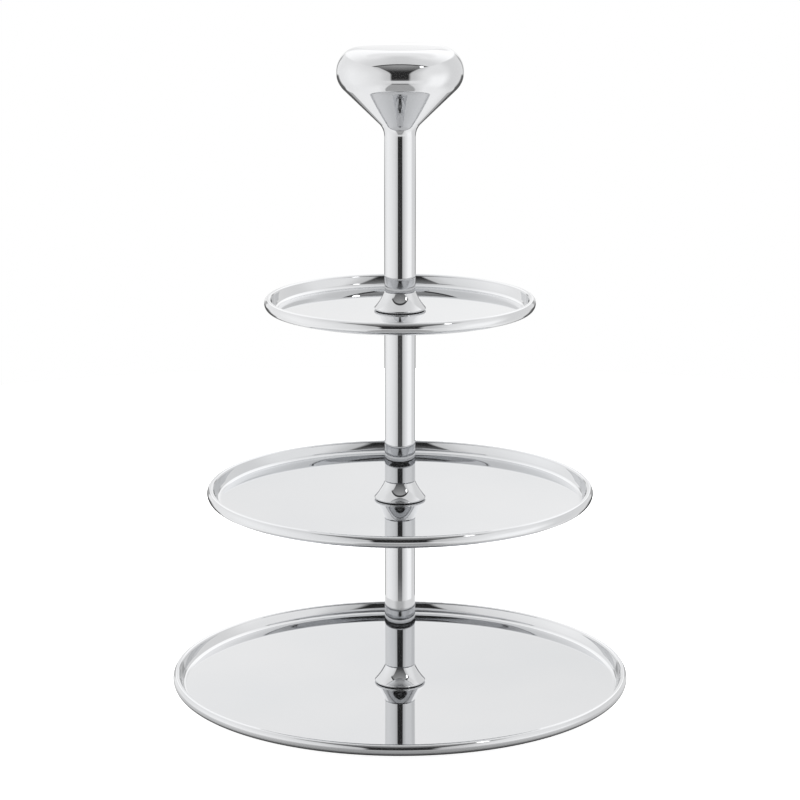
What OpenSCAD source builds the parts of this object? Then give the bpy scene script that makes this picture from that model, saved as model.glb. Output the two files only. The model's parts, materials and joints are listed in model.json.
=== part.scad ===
// Three-tier cake stand in polished stainless steel.
// Pressed trays are clamped between screwed stem sections; a hollow knob tops the stack.
// Every piece is a body of revolution about the Z axis, except the foot pads.

/* [Trays] */
// Outer diameter of the bottom tray
bottom_tray_d = 270; // [240:1:320]
// Outer diameter of the middle tray
middle_tray_d = 226.4; // [200:0.2:260]
// Outer diameter of the top tray
top_tray_d = 157; // [130:0.5:190]
// Thickness of the pressed sheet
sheet_t = 1.2; // [0.8:0.1:1.4]
// Height of the rim's crest above the floor's edge
rim_rise = 7.1; // [7:0.1:7.4]
// Radius of the very shallow dish pressed into each floor
dish_r = 3500; // [2500:100:8000]
// Slope of the rim's inner wall from horizontal, where it meets the crest
wall_slope = 75; // [74:1:76]
// Radius of the inner wall's hollow
wall_r = 25; // [20:1:35]
// Radius of the cove between floor and inner wall
cove_r = 3.6; // [3.4:0.1:3.7]
// Outside radius of the rolled crest
crest_r = 1.8; // [1.7:0.1:2]
// Outside radius of the bead that the rim is rolled into outside its crest
bead_r = 4.1; // [3.9:0.1:4.2]

/* [Stem] */
// Height from one tray's floor to the next tray's floor, at the stem
tier_pitch = 112.9; // [90:0.1:140]
// Outer diameter of the stem tubes
tube_d = 18; // [16:0.5:20]
// Wall of the stem tubes
tube_wall = 1; // [0.8:0.1:1.5]
// Length of the upper stem tube, from its collar to the knob's neck
upper_tube_l = 90; // [60:1:110]

/* [Collars] */
// Diameter of a collar's lip
collar_d = 30; // [28:0.5:31]
// Height of a collar
collar_h = 10.5; // [10.5:0.5:16]
// Height of the rounded lip at a collar's foot
lip_h = 1.5; // [1.2:0.1:2]
// Slope of a collar's bell from vertical, where it meets the tube
bell_slope = 22; // [18:1:27]

/* [Knob] */
// Largest diameter of the knob
knob_d = 72.8; // [66:0.2:80]
// Slope of the knob's cone from vertical
cone_slope = 46; // [42:1:50]
// Radius of the concave neck between tube and cone
neck_r = 10; // [8:0.5:14]
// Radius of the shoulder between cone and top
shoulder_r = 14.2; // [12:0.2:16]
// Radius of the domed top
dome_r = 340; // [250:10:500]
// Sheet thickness of the knob's shells
knob_wall = 1; // [0.8:0.1:1.5]

/* [Screwed joints] */
// Diameter of the studs and of the base screw
stud_d = 6; // [5:0.5:6]
// Diametral running clearance of a stud in a foot insert
thread_gap = 0.1; // [0.04:0.02:0.2]
// Length of thread engaged when a joint is screwed home
engaged_l = 11; // [10:1:14]
// Depth at which a stud is locked into its top insert
locked_l = 10; // [8:1:14]
// Diameter of the screw hole in each tray
tray_hole_d = 6.8; // [6.4:0.1:7.4]
// Thickness of a washer under a tray
washer_t = 0.6; // [0.4:0.1:1]
// Thickness of the base screw's head
head_h = 1.5; // [1.2:0.1:1.7]
// Diameter of the base screw's head
head_d = 14; // [12:0.5:16]

/* [Feet] */
// Height of the bottom tray's underside above the table, at the stem
ground_gap = 2.5; // [2.5:0.1:6]
// Number of foot pads
pad_count = 6; // [3:1:8]
// Diameter of a foot pad
pad_d = 12; // [10:0.5:16]

/* [Hidden] */

$fn = 96;
arc_step = 8;

steel = "gainsboro";
stud_steel = "darkgray";
clear_silicone = "whitesmoke";

// Seal: sits in a recess under each collar and holds its lip just off the tray
seal_stand = 0.3;
seal_t = 0.9;
seal_w = 3;
seal_side_gap = 0.4;
recess_wall = 2;
recess_h = seal_t - seal_stand;

insert_l = 22;
insert_chamfer = 0.6;
top_insert_l = 14;
bore_spare = 1.5;
hex_d = 4.6;
hex_depth = 2.6;
screw_washer_d = 17;
pad_inset = 31;
pad_edge_r = 0.6;

// Each floor is flat out to seat_r, then dished; the rim takes up about rim_w of the radius
seat_r = 18;
rim_w = 8.8;

tube_r = tube_d / 2;
tube_bore_r = tube_r - tube_wall;
stud_r = stud_d / 2;
collar_r = collar_d / 2;
recess_r = collar_r - recess_wall;
seal_r = recess_r - seal_side_gap;
seal_bore_r = seal_r - seal_w;
recess_bore_r = seal_bore_r - seal_side_gap;
knob_r = knob_d / 2;

// Heights of the three trays' undersides and floors at the stem
tray_z = [for (i = [0:2]) ground_gap + i * tier_pitch];
floor_z = [for (z = tray_z) z + sheet_t];

// Collar feet, tube feet and tube tops
collar_z = [for (z = floor_z) z + seal_stand];
tube_foot_z = [for (z = collar_z) z + collar_h];
tube_top_z = [
    tray_z[1] - washer_t,
    tray_z[2] - washer_t,
    tube_foot_z[2] + upper_tube_l
];
knob_z = tube_top_z[2];

// Points of an arc about centre c from angle a0 to a1; first = 1 leaves out the starting point
function arc(c, r, a0, a1, first = 0) =
    let (n = max(2, ceil(abs(a1 - a0) / arc_step)), step = (a1 - a0) / n)
    [for (i = [first:n]) c + r * [cos(a0 + i * step), sin(a0 + i * step)]];

// How far a dished floor has risen at radius r
function floor_rise(r) = pow(max(0, r - seat_r), 2) / (2 * dish_r);

// ---- Trays ----

// Section of a pressed tray: flat seat, dished floor, cove, hollow inner wall, rolled crest
// and a bead rolled down outside it. Each arc is tangent to the next.
module tray_section(tray_r) {
    hole_r = tray_hole_d / 2;
    crest_z = sheet_t + floor_rise(tray_r - rim_w) + rim_rise;
    bead_start = 35;
    bead_end = -85;
    bead_side = [cos(bead_start), sin(bead_start)];
    crest_c = [tray_r - bead_r + (bead_r - crest_r) * bead_side[0], crest_z - crest_r];
    bead_c = crest_c - (bead_r - crest_r) * bead_side;
    wall_c = crest_c + (crest_r + wall_r) * [-sin(wall_slope), cos(wall_slope)];
    dish_c = [seat_r, sheet_t + dish_r];
    // The cove's circle lies inside both the wall's and the dish's; join is where it meets the wall
    from_dish = wall_c - dish_c;
    near = wall_r - cove_r;
    far = dish_r - cove_r;
    spare = far * far - from_dish * from_dish - near * near;
    join = atan2(from_dish[1], from_dish[0]) + acos(spare / (2 * near * norm(from_dish)));
    cove_c = wall_c + near * [cos(join), sin(join)];
    edge_tilt = asin((cove_c[0] - seat_r) / far);
    polygon(concat(
        [[hole_r, sheet_t]],
        arc(dish_c, dish_r, -90, edge_tilt - 90),
        arc(cove_c, cove_r, edge_tilt - 90, join, first = 1),
        arc(wall_c, wall_r, join, wall_slope - 90, first = 1),
        arc(crest_c, crest_r, 90 + wall_slope, bead_start, first = 1),
        arc(bead_c, bead_r, bead_start, bead_end, first = 1),
        arc(bead_c, bead_r - sheet_t, bead_end, bead_start),
        arc(crest_c, crest_r - sheet_t, bead_start, 90 + wall_slope, first = 1),
        arc(wall_c, wall_r + sheet_t, wall_slope - 90, join, first = 1),
        arc(cove_c, cove_r + sheet_t, join, edge_tilt - 90, first = 1),
        arc(dish_c, dish_r + sheet_t, edge_tilt - 90, -90, first = 1),
        [[hole_r, 0]]
    ));
}

module tray(tray_d, z) {
    color(steel)
        translate([0, 0, z])
            rotate_extrude()
                tray_section(tray_d / 2);
}

module bottom_tray() { tray(bottom_tray_d, tray_z[0]); }
module middle_tray() { tray(middle_tray_d, tray_z[1]); }
module top_tray() { tray(top_tray_d, tray_z[2]); }

// ---- Feet and base screw ----

// Bonded bumper pads in a ring under the bottom tray; the glue line takes up the dish's slope
module foot_pads() {
    pad_ring_r = bottom_tray_d / 2 - pad_inset;
    pad_h = tray_z[0] + floor_rise(pad_ring_r - pad_d / 2);
    color(clear_silicone)
        for (i = [0:pad_count - 1])
            rotate([0, 0, i * 360 / pad_count])
                translate([pad_ring_r, 0, 0])
                    rotate_extrude()
                        polygon(concat(
                            [[0, 0]],
                            arc([pad_d / 2 - pad_edge_r, pad_edge_r], pad_edge_r, -90, 0),
                            [[pad_d / 2, pad_h], [0, pad_h]]
                        ));
}

// Low-head socket screw, up through the bottom tray into the lower stem
module base_screw() {
    head_z = tray_z[0] - washer_t - head_h;
    color(stud_steel)
        difference() {
            union() {
                translate([0, 0, head_z])
                    cylinder(d = head_d, h = head_h);
                translate([0, 0, head_z])
                    cylinder(r = stud_r, h = collar_z[0] + engaged_l - head_z);
            }
            translate([0, 0, head_z - 1])
                cylinder(d = hex_d, h = hex_depth + 1, $fn = 6);
        }
}

module flat_washer(outer_d, inner_d, thickness, z) {
    translate([0, 0, z])
        difference() {
            cylinder(d = outer_d, h = thickness);
            translate([0, 0, -1])
                cylinder(d = inner_d, h = thickness + 2);
        }
}

module base_washer() {
    color(stud_steel)
        flat_washer(screw_washer_d, tray_hole_d, washer_t, tray_z[0] - washer_t);
}

module middle_tray_washer() {
    color(clear_silicone)
        flat_washer(tube_d, tray_hole_d, washer_t, tube_top_z[0]);
}

module top_tray_washer() {
    color(clear_silicone)
        flat_washer(tube_d, tray_hole_d, washer_t, tube_top_z[1]);
}

// ---- Collars and their seals ----

module collar_seal(z) {
    color(clear_silicone)
        flat_washer(2 * seal_r, 2 * seal_bore_r, seal_t, z);
}

module lower_collar_seal() { collar_seal(floor_z[0]); }
module middle_collar_seal() { collar_seal(floor_z[1]); }
module upper_collar_seal() { collar_seal(floor_z[2]); }

// Section of a bell collar: rounded lip, and a hollow bell that meets the tube at an angle
module collar_section() {
    lip_r = lip_h / 2;
    lip_c = [collar_r - lip_r, lip_r];
    bell_top = [tube_r, collar_h];
    bell_side = [cos(bell_slope), sin(bell_slope)];
    // Radius of the bell's arc, which starts at its top at that slope and touches the lip
    from_lip = bell_top - lip_c;
    bell_r = (from_lip * from_lip - lip_r * lip_r) / (2 * (lip_r - bell_side * from_lip));
    bell_c = bell_top + bell_r * bell_side;
    foot_slope = atan2(bell_c[1] - lip_c[1], bell_c[0] - lip_c[0]);
    polygon(concat(
        [[tube_bore_r, 0], [recess_bore_r, 0], [recess_bore_r, recess_h]],
        [[recess_r, recess_h], [recess_r, 0]],
        arc(lip_c, lip_r, -90, foot_slope),
        arc(bell_c, bell_r, 180 + foot_slope, 180 + bell_slope, first = 1),
        [[tube_bore_r, collar_h]]
    ));
}

module stem_collar(z) {
    color(steel)
        translate([0, 0, z])
            rotate_extrude()
                collar_section();
}

module lower_stem_collar() { stem_collar(collar_z[0]); }
module middle_stem_collar() { stem_collar(collar_z[1]); }
module upper_stem_collar() { stem_collar(collar_z[2]); }

// ---- Tubes, inserts and studs ----

module stem_tube(z0, z1) {
    color(steel)
        translate([0, 0, z0])
            difference() {
                cylinder(r = tube_r, h = z1 - z0);
                translate([0, 0, -1])
                    cylinder(r = tube_bore_r, h = z1 - z0 + 2);
            }
}

module lower_stem_tube() { stem_tube(tube_foot_z[0], tube_top_z[0]); }
module middle_stem_tube() { stem_tube(tube_foot_z[1], tube_top_z[1]); }
module upper_stem_tube() { stem_tube(tube_foot_z[2], tube_top_z[2]); }

// Turned plug with the female thread, fixed in the collar and the tube's foot
module foot_insert(z) {
    bore_r = stud_r + thread_gap / 2;
    bore_l = engaged_l + bore_spare;
    color(stud_steel)
        translate([0, 0, z])
            rotate_extrude()
                polygon([
                    [bore_r + insert_chamfer, 0],
                    [tube_bore_r, 0],
                    [tube_bore_r, insert_l],
                    [0, insert_l],
                    [0, bore_l],
                    [bore_r, bore_l],
                    [bore_r, insert_chamfer]
                ]);
}

module lower_foot_insert() { foot_insert(collar_z[0]); }
module middle_foot_insert() { foot_insert(collar_z[1]); }
module upper_foot_insert() { foot_insert(collar_z[2]); }

// Plug that closes a tube's top and holds the stud
module top_insert(top_z) {
    color(stud_steel)
        translate([0, 0, top_z - top_insert_l])
            difference() {
                cylinder(r = tube_bore_r, h = top_insert_l);
                translate([0, 0, top_insert_l - locked_l])
                    cylinder(r = stud_r, h = locked_l + 1);
            }
}

module lower_top_insert() { top_insert(tube_top_z[0]); }
module middle_top_insert() { top_insert(tube_top_z[1]); }

// Threaded stud with chamfered end, from a top insert up through the next tray
module joint_stud(top_z, next_collar_z) {
    stud_top = next_collar_z + engaged_l;
    color(stud_steel)
        rotate_extrude()
            polygon([
                [0, top_z - locked_l],
                [stud_r, top_z - locked_l],
                [stud_r, stud_top - insert_chamfer],
                [stud_r - insert_chamfer, stud_top],
                [0, stud_top]
            ]);
}

module lower_joint_stud() { joint_stud(tube_top_z[0], collar_z[1]); }
module upper_joint_stud() { joint_stud(tube_top_z[1], collar_z[2]); }

// ---- Knob ----

// Centres of the arcs of the knob's section, each tangent to the next
neck_c = [tube_r + neck_r, knob_z];
cone_foot = neck_c + neck_r * [-cos(cone_slope), sin(cone_slope)];
shoulder_x = knob_r - shoulder_r;
cone_top_x = shoulder_x + shoulder_r * cos(cone_slope);
cone_top_z = cone_foot[1] + (cone_top_x - cone_foot[0]) / tan(cone_slope);
shoulder_c = [shoulder_x, cone_top_z + shoulder_r * sin(cone_slope)];
dome_half_angle = asin(shoulder_x / (dome_r - shoulder_r));
dome_c = [0, shoulder_c[1] - (dome_r - shoulder_r) * cos(dome_half_angle)];

// Lower shell: neck, cone and shoulder up to the widest circle
module knob_cone() {
    color(steel)
        rotate_extrude()
            polygon(concat(
                arc(neck_c, neck_r, 180, 180 - cone_slope),
                arc(shoulder_c, shoulder_r, -cone_slope, 0),
                arc(shoulder_c, shoulder_r - knob_wall, 0, -cone_slope),
                arc(neck_c, neck_r + knob_wall, 180 - cone_slope, 180)
            ));
}

// Upper shell: rest of the shoulder and the shallow domed top
module knob_cap() {
    color(steel)
        rotate_extrude()
            polygon(concat(
                arc(shoulder_c, shoulder_r, 0, 90 - dome_half_angle),
                arc(dome_c, dome_r, 90 - dome_half_angle, 90, first = 1),
                arc(dome_c, dome_r - knob_wall, 90, 90 - dome_half_angle),
                arc(shoulder_c, shoulder_r - knob_wall, 90 - dome_half_angle, 0, first = 1)
            ));
}

bottom_tray();
middle_tray();
top_tray();
foot_pads();
base_screw();
base_washer();
middle_tray_washer();
top_tray_washer();
lower_collar_seal();
middle_collar_seal();
upper_collar_seal();
lower_stem_collar();
middle_stem_collar();
upper_stem_collar();
lower_stem_tube();
middle_stem_tube();
upper_stem_tube();
lower_foot_insert();
middle_foot_insert();
upper_foot_insert();
lower_top_insert();
middle_top_insert();
lower_joint_stud();
upper_joint_stud();
knob_cone();
knob_cap();
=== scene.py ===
# Looks of the three-tier cake stand: turned pieces with exact normals, cut threads, polished and
# satin steel, silicone and nylon, and a small white photo studio round it all.
import json
import math

import bpy
import numpy as np
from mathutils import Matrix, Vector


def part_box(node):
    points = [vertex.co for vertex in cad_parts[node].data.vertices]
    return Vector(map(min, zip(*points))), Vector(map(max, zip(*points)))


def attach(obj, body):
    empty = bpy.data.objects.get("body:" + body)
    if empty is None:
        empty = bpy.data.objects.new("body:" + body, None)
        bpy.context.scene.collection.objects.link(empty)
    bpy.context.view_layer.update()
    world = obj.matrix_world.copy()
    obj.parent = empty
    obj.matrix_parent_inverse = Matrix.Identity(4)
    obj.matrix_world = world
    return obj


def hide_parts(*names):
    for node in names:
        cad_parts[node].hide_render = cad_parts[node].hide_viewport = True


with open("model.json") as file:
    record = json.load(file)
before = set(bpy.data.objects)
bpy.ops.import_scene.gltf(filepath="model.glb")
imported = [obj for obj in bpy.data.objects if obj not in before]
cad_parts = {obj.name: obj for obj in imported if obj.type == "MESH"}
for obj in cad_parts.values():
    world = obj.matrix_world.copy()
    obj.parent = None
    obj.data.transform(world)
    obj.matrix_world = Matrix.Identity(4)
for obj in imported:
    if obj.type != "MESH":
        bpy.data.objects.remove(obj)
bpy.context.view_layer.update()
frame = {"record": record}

MM = 0.001

# ---- Sizes that the frame's boxes don't give, as the CAD model has them: metres and degrees ----

SHEET_T = 1.2 * MM
DISH_R = 3500 * MM
SEAT_R = 18 * MM
WALL_SLOPE = 75
WALL_R = 25 * MM
COVE_R = 3.6 * MM
CREST_R = 1.8 * MM
BEAD_R = 4.1 * MM
BEAD_START = 35
BEAD_END = -85
TRAY_HOLE_R = 3.4 * MM

TUBE_R = 9 * MM
TUBE_WALL = 1 * MM
LIP_H = 1.5 * MM
BELL_SLOPE = 22
RECESS_WALL = 2 * MM
RECESS_H = 0.6 * MM
RECESS_BORE_R = 9.2 * MM
SEAL_BORE_R = 9.6 * MM

CONE_SLOPE = 46
NECK_R = 10 * MM
SHOULDER_R = 14.2 * MM
DOME_R = 340 * MM
KNOB_WALL = 1 * MM

STUD_R = 3 * MM
THREAD_PITCH = 1 * MM
THREAD_GAP = 0.05 * MM
BORE_L = 12.5 * MM
LOCKED_L = 10 * MM
CHAMFER = 0.6 * MM
SCREW_HEAD_R = 7 * MM
SCREW_HEAD_H = 1.5 * MM
HEX_R = 2.3 * MM
HEX_DEPTH = 2.6 * MM
PAD_R = 6 * MM
PAD_COUNT = 6

# Sizes that only the looks have: a fine V groove round each tube's foot, and the threads' form
GROOVE_H = 0.6 * MM
GROOVE_DEPTH = 0.75 * MM
THREAD_DEPTH = 0.5 * MM
ROOT_SHARE = 0.2    # share of the pitch that is flat at a thread's root

# ---- Mesh work ----

AROUND = 288          # steps round a turned piece
THREAD_AROUND = 72    # steps round a threaded piece
ROWS_PER_PITCH = 10
ARC_STEP = 3.0        # degrees between the points of a section's arcs
JOIN = 1e-7           # points closer than this are one point
SHARP = math.radians(35)    # threaded pieces are shaded flat across sharper edges than this


def toward(angle):
    """The unit vector at that angle, in degrees, in a section's plane."""
    return np.array([math.cos(math.radians(angle)), math.sin(math.radians(angle))])


def line(p, q):
    """A straight stretch of a section. Rows are (r, z, normal r, normal z), outside on the left."""
    length = math.dist(p, q)
    normal = ((p[1] - q[1]) / length, (q[0] - p[0]) / length)
    return [(*p, *normal), (*q, *normal)]


def arc(centre, radius, a0, a1, step=ARC_STEP):
    """A round stretch about centre. Turning clockwise it bulges outward, the other way it is hollow."""
    count = max(2, math.ceil(abs(a1 - a0) / step))
    side = 1 if a1 < a0 else -1
    rows = []
    for i in range(count + 1):
        a = math.radians(a0 + (a1 - a0) * i / count)
        c, s = math.cos(a), math.sin(a)
        rows.append((centre[0] + radius * c, centre[1] + radius * s, side * c, side * s))
    return rows


def joined(*stretches):
    """The stretches in order, with a straight one wherever two of them don't meet."""
    made = [stretches[0]]
    for stretch in stretches[1:]:
        end, start = made[-1][-1][:2], stretch[0][:2]
        if math.dist(end, start) > JOIN:
            made.append(line(end, start))
        made.append(stretch)
    return made


def rounded(corners):
    """A closed outline, clockwise. Each corner is (r, z, fillet radius), and 0 keeps it sharp."""
    made = []
    for i, (r, z, fillet) in enumerate(corners):
        before, here, after = corners[i - 1][:2], (r, z), corners[(i + 1) % len(corners)][:2]
        if fillet == 0:
            made.append([(r, z, 0, 0)])
            continue
        d1 = np.subtract(here, before) / math.dist(here, before)
        d2 = np.subtract(after, here) / math.dist(after, here)
        turn = math.atan2(d1[0] * d2[1] - d1[1] * d2[0], d1 @ d2)
        start = here - d1 * fillet * math.tan(abs(turn) / 2)
        left = np.array([-d1[1], d1[0]])
        side = 1 if turn < 0 else -1
        centre = start - side * fillet * left
        a0 = math.degrees(math.atan2(side * left[1], side * left[0]))
        made.append(arc(centre, fillet, a0, a0 + math.degrees(turn), step=12))
    outline = []
    for i, stretch in enumerate(made):
        if len(stretch) > 1:
            outline.append(stretch)
        end, start = stretch[-1][:2], made[(i + 1) % len(made)][0][:2]
        if math.dist(end, start) > JOIN:
            outline.append(line(end, start))
    return outline


def turned(stretches, around=AROUND):
    """Vertices, faces and corner normals of a section turned about the Z axis."""
    points, spans = [], []
    for stretch in stretches:
        for k, row in enumerate(stretch):
            if not points or math.dist(points[-1], row[:2]) > JOIN:
                points.append(row[:2])
            here = (len(points) - 1, row[2:])
            if k:
                spans.append((before, here))
            before = here
    if math.dist(points[0], points[-1]) < JOIN:
        last = len(points) - 1
        points.pop()
        spans = [((a % last, na), (b % last, nb)) for (a, na), (b, nb) in spans]
    angles = [2 * math.pi * k / around for k in range(around)]
    circle = [(math.cos(a), math.sin(a)) for a in angles]
    starts, vertices = [], []
    for r, z in points:
        starts.append(len(vertices))
        if r < JOIN:
            vertices.append((0, 0, z))
        else:
            vertices.extend((r * c, r * s, z) for c, s in circle)
    faces, normals = [], []
    for (i, ni), (j, nj) in spans:
        on_axis = points[i][0] < JOIN, points[j][0] < JOIN
        if all(on_axis):
            continue
        for k in range(around):
            k2 = (k + 1) % around
            corners = [(i, k, ni), (j, k, nj), (j, k2, nj), (i, k2, ni)]
            if on_axis[0]:
                corners.pop()
            elif on_axis[1]:
                corners.pop(2)
            faces.append([starts[p] + (0 if points[p][0] < JOIN else a) for p, a, n in corners])
            normals.extend((n[0] * circle[a][0], n[0] * circle[a][1], n[1]) for p, a, n in corners)
    return vertices, faces, normals


def shifted(part, offset):
    """The turned part, moved by offset."""
    vertices, faces, normals = part
    return [tuple(np.add(v, offset)) for v in vertices], faces, normals


def mesh_object(name, vertices, faces):
    """A smooth-shaded object in the scene."""
    mesh = bpy.data.meshes.new(name)
    mesh.from_pydata(vertices, [], faces)
    mesh.polygons.foreach_set("use_smooth", [True] * len(faces))
    mesh.update()
    piece = bpy.data.objects.new(name, mesh)
    bpy.context.scene.collection.objects.link(piece)
    return piece


def solid(name, *parts):
    """One object made of turned parts, with their exact normals."""
    vertices, faces, normals = [], [], []
    for part in parts:
        first = len(vertices)
        vertices.extend(part[0])
        faces.extend([i + first for i in face] for face in part[1])
        normals.extend(part[2])
    piece = mesh_object(name, vertices, faces)
    piece.data.normals_split_custom_set(normals)
    return piece


def ringed(name, rows):
    """A closed skin over rows of points. Each row is (radii round it, height), bottom row first."""
    around = THREAD_AROUND
    angles = 2 * np.pi * np.arange(around) / around
    vertices, starts = [], []
    for radii, z in rows:
        starts.append(len(vertices))
        if np.ndim(radii) == 0 and radii < JOIN:
            vertices.append((0, 0, z))
            continue
        radii = np.broadcast_to(radii, around)
        vertices.extend(zip(radii * np.cos(angles), radii * np.sin(angles), np.full(around, z)))
    starts.append(len(vertices))
    faces = []
    for a, b, c in zip(starts, starts[1:], starts[2:]):
        for k in range(around):
            k2 = (k + 1) % around
            if b - a == 1:
                faces.append((a, b + k2, b + k))
            elif c - b == 1:
                faces.append((a + k, a + k2, b))
            else:
                faces.append((a + k, a + k2, b + k2, b + k))
    piece = mesh_object(name, vertices, faces)
    piece.data.set_sharp_from_angle(angle=SHARP)
    return piece


def thread_rows(z0, z1, crest_r, chamfer_low=0.0, chamfer_high=0.0):
    """Rows of a right-hand thread between two heights, tapered off at a chamfered end."""
    around = THREAD_AROUND
    count = math.ceil((z1 - z0) / THREAD_PITCH * ROWS_PER_PITCH)
    turn_share = np.arange(around) / around
    rows = []
    for z in np.linspace(z0, z1, count + 1):
        phase = (z / THREAD_PITCH - turn_share) % 1
        from_crest = 0.5 - np.abs(phase - 0.5)
        depth = np.clip(from_crest / (0.5 - ROOT_SHARE / 2), 0, 1) * THREAD_DEPTH
        radii = crest_r - depth
        for chamfer, away in ((chamfer_low, z - z0), (chamfer_high, z1 - z)):
            if chamfer:
                radii = np.minimum(radii, crest_r - chamfer + away)
        rows.append((radii, z))
    return rows


# ---- Node trees ----

class Wiring:
    """Adds nodes to one shader tree; an input may be a value or another node's socket.

    A mix node's inputs go by number: 0 is the share, 2 and 3 the numbers, 6 and 7 the colours.
    """

    def __init__(self, tree):
        self.tree = tree
        tree.nodes.clear()

    def add(self, kind, inputs=None, **settings):
        """A new node, its inputs given by name or number, its settings by name."""
        node = self.tree.nodes.new(kind)
        for key, value in settings.items():
            setattr(node, key, value)
        for key, value in (inputs or {}).items():
            if isinstance(value, bpy.types.NodeSocket):
                self.tree.links.new(value, node.inputs[key])
            else:
                node.inputs[key].default_value = value
        return node

    def math(self, operation, a, b=0.0):
        """One sum on a value or two; the second goes unused where the operation needs only one."""
        return self.add("ShaderNodeMath", {0: a, 1: b}, operation=operation).outputs[0]

    def ramp(self, value, low, high, out_low=0.0, out_high=1.0):
        """Smooth step from out_low to out_high as value goes from low to high."""
        node = self.add(
            "ShaderNodeMapRange",
            {"Value": value, "From Min": low, "From Max": high, "To Min": out_low, "To Max": out_high},
            interpolation_type="SMOOTHSTEP",
        )
        return node.outputs["Result"]

    def blend(self, a, b, share):
        """From number a to number b by share."""
        return self.add("ShaderNodeMix", {0: share, 2: a, 3: b}, data_type="FLOAT").outputs[0]

    def window(self, value, low, high, soft):
        """1 between low and high, with edges soft wide that fade outwards."""
        rise = self.ramp(value, low - soft, low)
        fall = self.ramp(value, high, high + soft, 1.0, 0.0)
        return self.math("MULTIPLY", rise, fall)


def new_material(name):
    """A material with an empty node tree, and the wiring for it."""
    material = bpy.data.materials.new(name)
    material.use_nodes = True
    return material, Wiring(material.node_tree)


def noise(w, vector, scale, detail, roughness=0.5):
    """Fractal noise, from 0 to 1."""
    inputs = {"Vector": vector, "Scale": scale, "Detail": detail, "Roughness": roughness}
    return w.add("ShaderNodeTexNoise", inputs).outputs[0]


def two_tone(w, share, first, second):
    """From the first colour to the second by share."""
    inputs = {0: share, 6: (*first, 1), 7: (*second, 1)}
    return w.add("ShaderNodeMix", inputs, data_type="RGBA").outputs[2]


def axis_coordinates(w):
    """Object coordinates: the vector, the distance from the axis, the turn about it, the height."""
    here = w.add("ShaderNodeTexCoord").outputs["Object"]
    parts = w.add("ShaderNodeSeparateXYZ", {0: here}).outputs
    flat = w.add("ShaderNodeCombineXYZ", {0: parts["X"], 1: parts["Y"]}).outputs[0]
    away = w.add("ShaderNodeVectorMath", {0: flat}, operation="LENGTH").outputs["Value"]
    turn = w.math("ARCTAN2", parts["Y"], parts["X"])
    return here, away, turn, parts["Z"]


def round_marks(w, away, turn, height, fineness, along):
    """Coordinates far finer across the turn than along it, so that noise on them draws rings."""
    parts = {0: w.math("MULTIPLY", away, fineness),
             1: w.math("MULTIPLY", turn, along),
             2: w.math("MULTIPLY", height, fineness)}
    return w.add("ShaderNodeCombineXYZ", parts).outputs[0]


def finish_surface(w, inputs, bump=None):
    """The shader node with its output; bump is (height, distance, strength)."""
    if bump:
        height, distance, strength = bump
        inputs["Normal"] = w.add(
            "ShaderNodeBump", {"Height": height, "Distance": distance, "Strength": strength}
        ).outputs[0]
    shader = w.add("ShaderNodeBsdfPrincipled", inputs)
    w.add("ShaderNodeOutputMaterial", {"Surface": shader.outputs[0]})


def polished_steel(name):
    """Mirror-polished stainless steel: faint ring marks from the polishing wheel and a slight haze.

    A small diffuse share stands in for reflections deeper than the renderer follows.
    """
    material, w = new_material(name)
    here, away, turn, height = axis_coordinates(w)
    rings = round_marks(w, away, turn, height, fineness=900.0, along=0.6)
    marks = noise(w, rings, scale=1.0, detail=4.0, roughness=0.6)
    haze = noise(w, here, scale=26.0, detail=3.0, roughness=0.55)
    tint = noise(w, here, scale=9.0, detail=2.0)
    colour = two_tone(w, w.ramp(tint, 0.3, 0.7), (0.68, 0.689, 0.702), (0.707, 0.711, 0.72))
    rough = w.blend(0.012, 0.05, w.math("MULTIPLY", haze, marks))
    finish_surface(
        w,
        {"Base Color": colour, "Metallic": 0.985, "Roughness": rough},
        bump=(marks, 0.002 * MM, 0.5),
    )
    return material


def satin_steel(name):
    """Turned stainless steel: fine lathe lines round the axis and a soft, uneven sheen."""
    material, w = new_material(name)
    here, away, turn, height = axis_coordinates(w)
    lines = round_marks(w, away, turn, height, fineness=9000.0, along=1.0)
    cut = noise(w, lines, scale=1.0, detail=2.0, roughness=0.6)
    patch = noise(w, here, scale=300.0, detail=3.0, roughness=0.6)
    colour = two_tone(w, patch, (0.50, 0.50, 0.515), (0.66, 0.66, 0.67))
    finish_surface(
        w,
        {"Base Color": colour, "Metallic": 1.0, "Roughness": w.blend(0.24, 0.42, cut)},
        bump=(cut, 0.02 * MM, 0.6),
    )
    return material


def silicone(name):
    """Milky clear silicone: soft mottling, a slight bloom and a fine moulded skin."""
    material, w = new_material(name)
    here = w.add("ShaderNodeTexCoord").outputs["Object"]
    cloud = noise(w, here, scale=420.0, detail=3.0, roughness=0.6)
    skin = noise(w, here, scale=5000.0, detail=2.0, roughness=0.6)
    colour = two_tone(w, cloud, (0.72, 0.74, 0.75), (0.88, 0.89, 0.89))
    finish_surface(
        w,
        {
            "Base Color": colour,
            "Roughness": w.blend(0.32, 0.5, cloud),
            "IOR": 1.41,
            "Subsurface Weight": 0.35,
            "Subsurface Radius": (2 * MM, 2 * MM, 2 * MM),
            "Subsurface Scale": 1.0,
        },
        bump=(skin, 0.02 * MM, 0.4),
    )
    return material


def nylon(name):
    """White moulded nylon, a little warm, with a matte pitted skin."""
    material, w = new_material(name)
    here = w.add("ShaderNodeTexCoord").outputs["Object"]
    pits = noise(w, here, scale=2600.0, detail=4.0, roughness=0.65)
    cloud = noise(w, here, scale=160.0, detail=2.0)
    colour = two_tone(w, cloud, (0.82, 0.81, 0.78), (0.90, 0.895, 0.87))
    finish_surface(
        w,
        {"Base Color": colour, "Roughness": w.blend(0.45, 0.65, pits), "IOR": 1.53},
        bump=(pits, 0.03 * MM, 0.5),
    )
    return material


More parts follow.
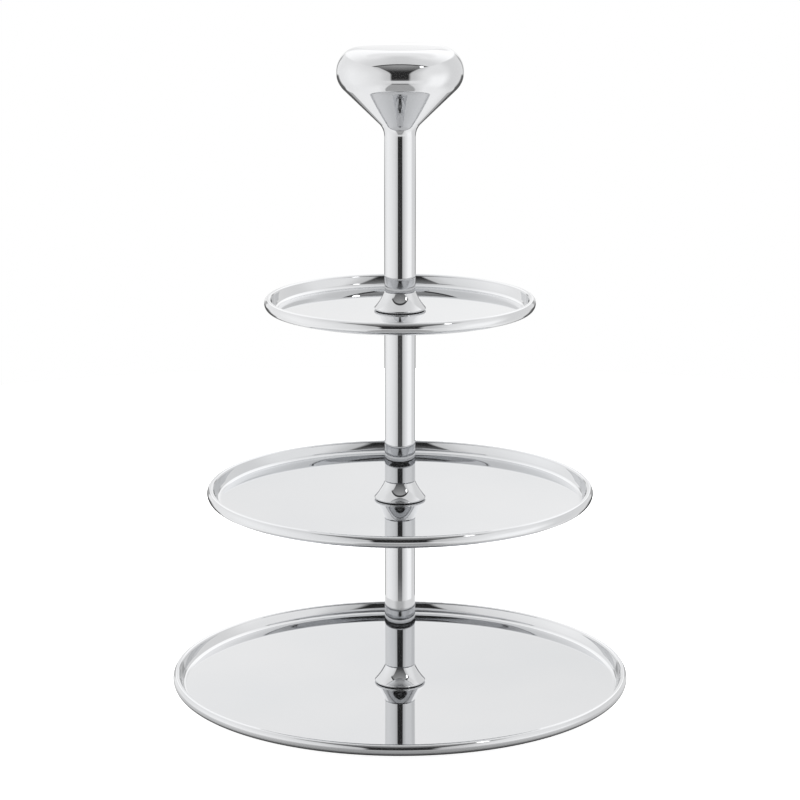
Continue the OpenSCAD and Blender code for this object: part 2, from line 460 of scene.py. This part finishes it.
MATERIALS = {
    "polished_steel": polished_steel("polished_steel"),
    "plain_steel": satin_steel("plain_steel"),
    "clear_silicone": silicone("clear_silicone"),
    "white_nylon": nylon("white_nylon"),
}

# ---- Pieces ----

body_of = {n: body for body, names in frame["record"]["behaviour"]["bodies"].items() for n in names}


def place(piece, node, slot):
    """The piece stands for that CAD node and moves with the node's body."""
    piece.data.materials.append(MATERIALS[slot])
    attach(piece, body_of[node])
    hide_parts(node)


def tray(node):
    """A pressed tray: flat seat, dished floor, cove, hollow wall, rolled crest and bead."""
    low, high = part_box(node)
    outer_r, seat_z, crest_z = high.x, low.z, high.z
    edge_r = 0.25 * MM
    bead_side = toward(BEAD_START)
    dish_c = np.array([SEAT_R, seat_z + SHEET_T + DISH_R])
    crest_c = np.array([outer_r - BEAD_R + (BEAD_R - CREST_R) * bead_side[0], crest_z - CREST_R])
    bead_c = crest_c - (BEAD_R - CREST_R) * bead_side
    wall_c = crest_c + (CREST_R + WALL_R) * toward(90 + WALL_SLOPE)
    away = wall_c - dish_c
    near, far = WALL_R - COVE_R, DISH_R - COVE_R
    spare = (far**2 - away @ away - near**2) / (2 * near * math.hypot(*away))
    join = math.degrees(math.atan2(away[1], away[0]) + math.acos(spare))
    cove_c = wall_c + near * toward(join)
    tilt = math.degrees(math.asin((cove_c[0] - SEAT_R) / far))
    dish_step = tilt / 24
    hole_top = (TRAY_HOLE_R + edge_r, seat_z + SHEET_T - edge_r)
    hole_foot = (TRAY_HOLE_R + edge_r, seat_z + edge_r)
    section = joined(
        arc(hole_top, edge_r, 180, 90, step=15),
        arc(dish_c, DISH_R, -90, tilt - 90, step=dish_step),
        arc(cove_c, COVE_R, tilt - 90, join),
        arc(wall_c, WALL_R, join, WALL_SLOPE - 90),
        arc(crest_c, CREST_R, 90 + WALL_SLOPE, BEAD_START),
        arc(bead_c, BEAD_R, BEAD_START, BEAD_END),
        arc(bead_c, BEAD_R - SHEET_T, BEAD_END, BEAD_START),
        arc(crest_c, CREST_R - SHEET_T, BEAD_START, 90 + WALL_SLOPE),
        arc(wall_c, WALL_R + SHEET_T, WALL_SLOPE - 90, join),
        arc(cove_c, COVE_R + SHEET_T, join, tilt - 90),
        arc(dish_c, DISH_R + SHEET_T, tilt - 90, -90, step=dish_step),
        arc(hole_foot, edge_r, 270, 180, step=15),
        [(TRAY_HOLE_R, hole_foot[1], -1, 0), (TRAY_HOLE_R, hole_top[1], -1, 0)],
    )
    place(solid(node + "_pressing", turned(section)), node, "polished_steel")


def collar(node):
    """A turned bell: recessed foot, rounded lip and a hollow bell that meets the tube at an angle."""
    low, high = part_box(node)
    foot_z, top_z, collar_r = low.z, high.z, high.x
    bore_r = TUBE_R - TUBE_WALL
    lip_r = LIP_H / 2
    edge_r = 0.12 * MM
    lip_c = np.array([collar_r - lip_r, foot_z + lip_r])
    bell_top = np.array([TUBE_R, top_z])
    from_lip = bell_top - lip_c
    bell_side = toward(BELL_SLOPE)
    bell_r = (from_lip @ from_lip - lip_r**2) / (2 * (lip_r - bell_side @ from_lip))
    bell_c = bell_top + bell_r * bell_side
    foot_slope = math.degrees(math.atan2(*(bell_c - lip_c)[::-1]))
    recess_r = collar_r - RECESS_WALL
    edge_c = (TUBE_R - edge_r, top_z - edge_r)
    edge_share = 0.2    # degrees of the bell's arc that the eased edge takes
    section = joined(
        [(bore_r, foot_z, -1, 0), (bore_r, top_z, -1, 0)],
        [(bore_r, top_z, 0, 1), (TUBE_R - edge_r, top_z, 0, 1)],
        arc(edge_c, edge_r, 90, BELL_SLOPE, step=15),
        arc(bell_c, bell_r, 180 + BELL_SLOPE + edge_share, 180 + foot_slope, step=0.8),
        arc(lip_c, lip_r, foot_slope, -90, step=4),
        [(recess_r, foot_z, -1, 0), (recess_r, foot_z + RECESS_H, -1, 0)],
        [(recess_r, foot_z + RECESS_H, 0, -1), (RECESS_BORE_R, foot_z + RECESS_H, 0, -1)],
        [(RECESS_BORE_R, foot_z + RECESS_H, 1, 0), (RECESS_BORE_R, foot_z, 1, 0)],
        [(RECESS_BORE_R, foot_z, 0, -1), (bore_r, foot_z, 0, -1)],
    )
    place(solid(node + "_bell", turned(section)), node, "polished_steel")


def tube(node):
    """A drawn tube; its foot is bevelled, so a fine V groove shows where it meets its collar."""
    low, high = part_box(node)
    bore_r = TUBE_R - TUBE_WALL
    edge_r = 0.08 * MM
    section = rounded([
        (bore_r, low.z, edge_r),
        (bore_r, high.z, edge_r),
        (TUBE_R, high.z, 0),
        (TUBE_R, low.z + GROOVE_H, edge_r),
        (TUBE_R - GROOVE_DEPTH, low.z, 0),
    ])
    place(solid(node + "_drawn", turned(section)), node, "polished_steel")


def ring(node, name, slot, inner_r, edge_r):
    """A washer or a seal: a flat-sided ring with eased edges, as wide and high as its node's box."""
    low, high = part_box(node)
    corners = [(inner_r, low.z), (inner_r, high.z), (high.x, high.z), (high.x, low.z)]
    section = rounded([(r, z, edge_r) for r, z in corners])
    place(solid(name, turned(section)), node, slot)


def foot_insert(node):
    """A turned plug with a threaded bore open at its foot."""
    low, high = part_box(node)
    outer_r, foot_z, top_z = high.x, low.z, high.z
    bore_r = STUD_R + THREAD_GAP
    bore = []
    turns = int((BORE_L - 2 * CHAMFER) / THREAD_PITCH)
    z = foot_z + CHAMFER
    for _ in range(turns):
        root = (bore_r + THREAD_DEPTH, z + THREAD_PITCH / 2)
        bore.append(line((bore_r, z), root))
        z += THREAD_PITCH
        bore.append(line(root, (bore_r, z)))
    section = joined(
        line((bore_r + CHAMFER, foot_z), (bore_r, foot_z + CHAMFER)),
        *bore,
        line((bore_r, foot_z + BORE_L - CHAMFER), (0, foot_z + BORE_L)),
    )
    section += [
        line((0, foot_z + BORE_L), (0, top_z)),
        line((0, top_z), (outer_r, top_z)),
        line((outer_r, top_z), (outer_r, foot_z)),
        line((outer_r, foot_z), (bore_r + CHAMFER, foot_z)),
    ]
    place(solid(node + "_plug", turned(section, around=THREAD_AROUND)), node, "plain_steel")


def top_insert(node):
    """A plug that closes a tube's top, bored for the stud that is locked into it."""
    low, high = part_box(node)
    outer_r = high.x
    bore_foot_z = high.z - LOCKED_L
    section = joined(
        line((0, bore_foot_z), (STUD_R, bore_foot_z)),
        line((STUD_R, bore_foot_z), (STUD_R, high.z)),
        line((STUD_R, high.z), (outer_r, high.z)),
        line((outer_r, high.z), (outer_r, low.z)),
        line((outer_r, low.z), (0, low.z)),
    )
    place(solid(node + "_plug", turned(section, around=THREAD_AROUND)), node, "plain_steel")


def stud(node):
    """A threaded stud with chamfered ends."""
    low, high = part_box(node)
    rows = [(0.0, low.z)]
    rows += thread_rows(low.z, high.z, STUD_R, CHAMFER, CHAMFER)
    rows += [(0.0, high.z)]
    place(ringed(node + "_threaded", rows), node, "plain_steel")


def base_screw(node):
    """A low-head socket screw: hex socket, rounded head, short plain neck and thread."""
    low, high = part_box(node)
    head_z, tip_z = low.z, high.z
    head_top_z = head_z + SCREW_HEAD_H
    neck_top_z = head_top_z + 1.6 * MM
    thread_z = neck_top_z + 0.2 * MM
    turn = (2 * np.pi * np.arange(THREAD_AROUND) / THREAD_AROUND) % (math.pi / 3)
    hexagon = HEX_R * math.cos(math.pi / 6) / np.cos(turn - math.pi / 6)
    ease = 0.3 * MM
    edge_r = 0.45 * MM
    socket_taper = 0.98
    rows = [(0.0, head_z + HEX_DEPTH + ease), (hexagon * socket_taper, head_z + HEX_DEPTH)]
    rows += [(hexagon, head_z + ease), (hexagon + ease, head_z)]
    for a in np.radians(np.arange(-90, 1, 15)):
        rows.append((SCREW_HEAD_R - edge_r + edge_r * math.cos(a), head_z + edge_r + edge_r * math.sin(a)))
    rows += [(SCREW_HEAD_R, head_top_z - ease / 3), (SCREW_HEAD_R - ease / 3, head_top_z)]
    rows += [(STUD_R, head_top_z), (STUD_R, neck_top_z)]
    rows += thread_rows(thread_z, tip_z, STUD_R, chamfer_high=CHAMFER)
    rows += [(0.0, tip_z)]
    place(ringed(node + "_threaded", rows), node, "plain_steel")


def foot_pads(node):
    """Bonded bumpers: each a drafted round body with a rounded foot on a thin adhesive disc."""
    low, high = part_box(node)
    ring_r = high.x - PAD_R
    film = 0.25 * MM
    film_edge_r = 0.08 * MM
    draft = 0.25 * MM
    foot_edge_r = 0.9 * MM
    section = rounded([
        (0, low.z, 0),
        (0, high.z, 0),
        (PAD_R, high.z, film_edge_r),
        (PAD_R, high.z - film, film_edge_r),
        (PAD_R - draft, high.z - film, 0),
        (PAD_R - 2 * draft, low.z, foot_edge_r),
    ])
    pad = turned(section, around=96)
    turns = [2 * math.pi * i / PAD_COUNT for i in range(PAD_COUNT)]
    pads = [shifted(pad, (ring_r * math.cos(a), ring_r * math.sin(a), 0)) for a in turns]
    place(solid(node + "_moulded", *pads), node, "clear_silicone")


def knob():
    """Two spun shells, welded and polished over: neck, cone and shoulder; shoulder and dome."""
    base_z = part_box("knob_cone")[0].z
    knob_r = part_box("knob_cap")[1].x
    slope = math.radians(CONE_SLOPE)
    neck_c = np.array([TUBE_R + NECK_R, base_z])
    cone_foot = neck_c + NECK_R * np.array([-math.cos(slope), math.sin(slope)])
    shoulder_x = knob_r - SHOULDER_R
    cone_top_x = shoulder_x + SHOULDER_R * math.cos(slope)
    cone_top_z = cone_foot[1] + (cone_top_x - cone_foot[0]) / math.tan(slope)
    shoulder_c = np.array([shoulder_x, cone_top_z + SHOULDER_R * math.sin(slope)])
    half_angle = math.asin(shoulder_x / (DOME_R - SHOULDER_R))
    dome_c = np.array([0, shoulder_c[1] - (DOME_R - SHOULDER_R) * math.cos(half_angle)])
    half = math.degrees(half_angle)
    inner_r = SHOULDER_R - KNOB_WALL

    cone = joined(
        arc(neck_c, NECK_R + KNOB_WALL, 180 - CONE_SLOPE, 180),
        line((neck_c[0] - NECK_R - KNOB_WALL, base_z), (neck_c[0] - NECK_R, base_z)),
        arc(neck_c, NECK_R, 180, 180 - CONE_SLOPE, step=1.5),
        arc(shoulder_c, SHOULDER_R, -CONE_SLOPE, 0, step=1.5),
        arc(shoulder_c, inner_r, 0, -CONE_SLOPE),
    )
    cone.append(line(cone[-1][-1][:2], cone[0][0][:2]))
    cap = joined(
        arc(dome_c, DOME_R, 90, 90 - half, step=half / 16),
        arc(shoulder_c, SHOULDER_R, 90 - half, 0, step=1.5),
        arc(shoulder_c, inner_r, 0, 90 - half),
        arc(dome_c, DOME_R - KNOB_WALL, 90 - half, 90, step=half / 8),
    )
    place(solid("knob_cone_spun", turned(cone)), "knob_cone", "polished_steel")
    place(solid("knob_cap_spun", turned(cap)), "knob_cap", "polished_steel")


def make_pieces():
    """Every piece of the stand, one for each CAD node."""
    for node in ("bottom_tray", "middle_tray", "top_tray"):
        tray(node)
    for tier in ("lower", "middle", "upper"):
        collar(tier + "_stem_collar")
        tube(tier + "_stem_tube")
        ring(tier + "_collar_seal", tier + "_collar_seal_moulded", "clear_silicone",
             SEAL_BORE_R, edge_r=0.25 * MM)
        foot_insert(tier + "_foot_insert")
    for tier in ("lower", "middle"):
        top_insert(tier + "_top_insert")
    for node in ("middle_tray_washer", "top_tray_washer"):
        ring(node, node + "_moulded", "white_nylon", TRAY_HOLE_R, edge_r=0.12 * MM)
    ring("base_washer", "base_washer_stamped", "plain_steel", TRAY_HOLE_R, edge_r=0.1 * MM)
    for node in ("lower_joint_stud", "upper_joint_stud"):
        stud(node)
    base_screw("base_screw")
    foot_pads("foot_pads")
    knob()


# ---- Studio ----
#
# Lengths are in metres and angles in degrees. Brightness 1 is plain white. The walls' tones and places
# were set by comparing what the steel mirrors with the photo.

CAMERA_BACK = 1.515
CAMERA_HEIGHT = 0.5229
CAMERA_DOWN = 12.903      # degrees below the horizontal
CAMERA_LENS = 119.89      # focal length in millimetres, on a 36 mm sensor
FLOOR_R = 0.9
NEAR_FLOOR_R = 0.19
STUDIO_GAIN = 1.14        # lifts the studio's tones, to make up for what the steel takes off them
DIFFUSE_LIGHT = 1.16      # the studio's even brightness on surfaces that don't mirror it
CEILING_EDGE = 1.55       # height of the ceiling's front edge, over its distance
SIDE_TOP = 0.78           # height of a side diffuser's top edge, over its distance
LAMP_LIGHT = 5.0          # brightness of the one small lamp, where a white wall's is 1
DEGREES = 180 / math.pi   # in one radian, the unit of the nodes' own sums


def make_camera():
    """The photographed viewing angle: a long lens, a little above the stand."""
    data = bpy.data.cameras.new("camera")
    data.lens = CAMERA_LENS
    data.sensor_width = 36
    data.clip_end = 20
    camera = bpy.data.objects.new("camera", data)
    camera.location = (0, -CAMERA_BACK, CAMERA_HEIGHT)
    camera.rotation_euler = (math.radians(90 - CAMERA_DOWN), 0, 0)
    bpy.context.scene.collection.objects.link(camera)
    bpy.context.scene.camera = camera


def make_floor():
    """A white paper floor. It glows too, to stay white under the stand; the steel doesn't mirror it."""
    material, w = new_material("floor_paper")
    here = w.add("ShaderNodeTexCoord").outputs["Object"]
    grain = noise(w, here, scale=900.0, detail=3.0, roughness=0.6)
    colour = two_tone(w, grain, (0.90, 0.90, 0.90), (0.93, 0.93, 0.93))
    finish_surface(w, {"Base Color": colour, "Roughness": 0.9,
                       "Emission Color": (1, 1, 1, 1), "Emission Strength": 0.9})
    floor = solid("floor", turned([line((0, 0), (FLOOR_R, 0))], around=128))
    floor.visible_glossy = False
    floor.data.materials.append(material)


def make_floor_reflection():
    """The table near the stand, for the steel to mirror; the camera doesn't see it.

    It glows with painted shade: grey in front, brighter round the sides, and a painted shadow under the
    bottom tray.
    """
    material, w = new_material("floor_reflection")
    _, away, turn, _ = axis_coordinates(w)
    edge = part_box("bottom_tray")[1].x
    # painted shadow: dark just under the bottom tray's rim, lighter further out
    shade = w.ramp(away, edge - 3 * MM, edge + 7 * MM, 0.07, 0.60)
    shade = w.math("ADD", shade, w.ramp(away, edge + 7 * MM, edge + 40 * MM, 0.0, 0.2))
    # painted shade: darker in front of the stand than round its sides
    from_front = w.math("ABSOLUTE", w.math("ADD", turn, math.pi / 2))
    shade = w.math("MULTIPLY", shade, w.ramp(from_front, 0.2, 0.9, 0.6, 1.0))
    shade = w.math("MULTIPLY", shade, STUDIO_GAIN)
    light = w.add("ShaderNodeEmission", {"Color": (1, 1, 1, 1), "Strength": shade}).outputs[0]
    w.add("ShaderNodeOutputMaterial", {"Surface": light})
    just_below = -0.02 * MM
    section = [line((0, just_below), (NEAR_FLOOR_R, just_below))]
    near = solid("floor_near", turned(section, around=128))
    near.visible_camera = False
    near.visible_shadow = False
    near.visible_diffuse = False
    near.data.materials.append(material)


class Direction:
    """A direction in the studio, in degrees. Azimuth is 0 at the camera's side, positive to the right."""

    def __init__(self, w, vector):
        self.vector = vector
        self.x, y, z = w.add("ShaderNodeSeparateXYZ", {0: vector}).outputs
        turn = w.math("ARCTAN2", self.x, w.math("MULTIPLY", y, -1.0))
        self.azimuth = w.math("MULTIPLY", turn, DEGREES)
        self.elevation = w.math("MULTIPLY", w.math("ARCSINE", z), DEGREES)
        self.aside = w.math("ABSOLUTE", self.azimuth)
        self.is_right = w.ramp(self.azimuth, -1, 1)


def edge_elevation(w, steepness, toward_edge):
    """Elevation, by azimuth, of a straight level edge.

    Steepness is its height over its nearest distance. toward_edge is the cosine of the angle, seen
    from above, between a direction and the nearest point's.
    """
    return w.math("MULTIPLY", w.math("ARCTANGENT", w.math("MULTIPLY", toward_edge, steepness)), DEGREES)


def ceiling_light(w, to):
    """The ceiling diffuser, brighter towards the back and to the right."""
    near = w.ramp(to.aside, 15, 70, 0.72, 0.80)
    back_right = w.blend(near, 1.21, w.ramp(to.azimuth, 70, 150))
    back_left = w.blend(near, 1.18, w.ramp(w.math("MULTIPLY", to.azimuth, -1.0), 65, 165))
    ceiling = w.math("MAXIMUM", back_right, back_left)
    ceiling = w.math("MULTIPLY", ceiling, w.ramp(to.elevation, 8, 30, 0.92, 1.0))
    ceiling = w.math("MINIMUM", ceiling, w.ramp(to.elevation, 40, 58, 1.25, 0.98))
    return w.blend(ceiling, 0.76, w.ramp(to.elevation, 62, 86))


def with_front(w, to, light):
    """Adds what is in front, below the ceiling's front edge, with a dark line along that edge.

    From the top: fabric, the dark gap round the camera, the table's pale edge, the grey room below.
    """
    front = w.ramp(to.elevation, 20, 43, 0.02, 0.24)
    front = w.math("ADD", front, w.ramp(to.elevation, 38, 54, 0.0, 0.13))
    front = w.math("ADD", front, w.ramp(to.elevation, -18, -6, 0.08, 0.0))
    front = w.blend(front, 0.74, w.window(to.elevation, -30, -18.5, 2))
    front = w.blend(front, 0.40, w.ramp(to.elevation, -33, -36))
    forward = w.math("COSINE", w.math("DIVIDE", to.azimuth, DEGREES))
    above_edge = w.math("SUBTRACT", to.elevation, edge_elevation(w, CEILING_EDGE, forward))
    is_front = w.math("MULTIPLY", w.ramp(above_edge, 2.5, -0.5), w.ramp(to.aside, 96, 84))
    light = w.blend(light, front, is_front)
    is_line = w.math("MULTIPLY", w.window(above_edge, -2.6, 0.6, 1.2), w.ramp(to.aside, 74, 62))
    return w.blend(light, 0.04, is_line)


def side_opening(w, to):
    """How much of a side diffuser shows, from its front edge back.

    The edge is upright between two elevations. Above them it curves away, below them it slants away.
    """
    upright_low, upright_high = -33.0, 8.0
    front_edge = 14.0
    curve, slant = 0.033, 0.95
    above = w.math("MAXIMUM", w.math("SUBTRACT", to.elevation, upright_high), 0.0)
    edge = w.math("ADD", w.math("MULTIPLY", w.math("POWER", above, 2.0), curve), front_edge)
    below = w.math("MAXIMUM", w.math("SUBTRACT", upright_low, to.elevation), 0.0)
    edge = w.math("ADD", edge, w.math("MULTIPLY", below, slant))
    past_edge = w.math("SUBTRACT", to.aside, edge)
    sharp_left = w.ramp(past_edge, 0, 5, 0, 0.78)
    sharp_right = w.ramp(past_edge, 0, 7, 0, 0.66)
    soft_left = w.ramp(past_edge, 4, 26, 0, 0.22)
    soft_right = w.ramp(past_edge, 5, 34, 0, 0.34)
    opening = w.math("ADD", w.blend(sharp_left, sharp_right, to.is_right),
                     w.blend(soft_left, soft_right, to.is_right))
    across = w.math("SINE", w.math("DIVIDE", w.math("MAXIMUM", to.aside, 90.0), DEGREES))
    below_top = w.math("SUBTRACT", edge_elevation(w, SIDE_TOP, across), to.elevation)
    return w.math("MULTIPLY", opening, w.ramp(below_top, -1.5, 2.0))


def with_sides(w, to, light):
    """Adds the side diffusers, each with a soft glow where its lamp is."""
    left_glow = w.math("MULTIPLY", w.window(to.azimuth, -95, -70, 45), w.window(to.elevation, -20, 0, 40))
    right_glow = w.math("MULTIPLY", w.window(to.azimuth, 66, 84, 22), w.window(to.elevation, -40, -14, 30))
    left = w.math("ADD", w.math("MULTIPLY", left_glow, 0.13), w.ramp(to.azimuth, -105, -50, 0.92, 0.83))
    right = w.math("ADD", w.math("MULTIPLY", right_glow, 0.20), w.ramp(to.azimuth, 85, 112, 0.92, 0.79))
    panel = w.blend(left, right, to.is_right)
    panel = w.blend(panel, 1.0, w.ramp(to.elevation, -28, -50))
    return w.blend(light, panel, side_opening(w, to))


def with_back(w, to, light):
    """Adds the unevenly lit backdrop, narrow gaps beside it and the shade under its foot."""
    is_backdrop = w.math("MULTIPLY", w.ramp(to.aside, 163, 172), w.window(to.elevation, 6, 20, 6))
    backdrop = w.math("MULTIPLY", to.x, w.ramp(to.elevation, 13, 21, 0.6, -0.6))
    backdrop = w.math("ADD", backdrop, w.ramp(to.elevation, 10, 16, 0.925, 0.915))
    light = w.blend(light, backdrop, is_backdrop)
    gaps = w.math("MULTIPLY", w.window(to.aside, 156, 162, 2.5), w.window(to.elevation, -40, 8, 6))
    light = w.blend(light, 0.42, gaps)
    foot = w.math("MULTIPLY", w.ramp(to.aside, 140, 152), w.window(to.elevation, -24, -9, 3))
    return w.blend(light, 0.10, foot)


def with_lamp(w, to, light):
    """Adds one small lamp head up to the right of the camera."""
    azimuth, elevation = math.radians(47), math.radians(40)
    level = math.cos(elevation)
    lamp_at = (math.sin(azimuth) * level, -math.cos(azimuth) * level, math.sin(elevation))
    rim, core = math.cos(math.radians(3.6)), math.cos(math.radians(2.2))
    facing = w.add("ShaderNodeVectorMath", {0: to.vector, 1: lamp_at}, operation="DOT_PRODUCT")
    return w.blend(light, LAMP_LIGHT, w.ramp(facing.outputs["Value"], rim, core))


def studio_light(w, vector):
    """Brightness of the studio's walls by direction, as the polished steel mirrors it."""
    to = Direction(w, vector)
    light = ceiling_light(w, to)
    for addition in (with_front, with_sides, with_back, with_lamp):
        light = addition(w, to, light)
    return light


def make_studio():
    """A white studio: the walls show in reflections, the camera sees plain white."""
    world = bpy.data.worlds.new("studio")
    bpy.context.scene.world = world
    world.use_nodes = True
    w = Wiring(world.node_tree)
    direction = w.add("ShaderNodeTexCoord").outputs["Generated"]
    path = w.add("ShaderNodeLightPath").outputs
    light = w.math("MULTIPLY", studio_light(w, direction), STUDIO_GAIN)
    light = w.blend(light, DIFFUSE_LIGHT, path["Is Diffuse Ray"])
    light = w.blend(light, 1.0, path["Is Camera Ray"])
    background = w.add("ShaderNodeBackground", {"Color": (1, 1, 1, 1), "Strength": light})
    w.add("ShaderNodeOutputWorld", {"Surface": background.outputs[0]})
    bpy.context.scene.view_settings.view_transform = "Standard"


make_camera()
make_pieces()
make_floor()
make_floor_reflection()
make_studio()
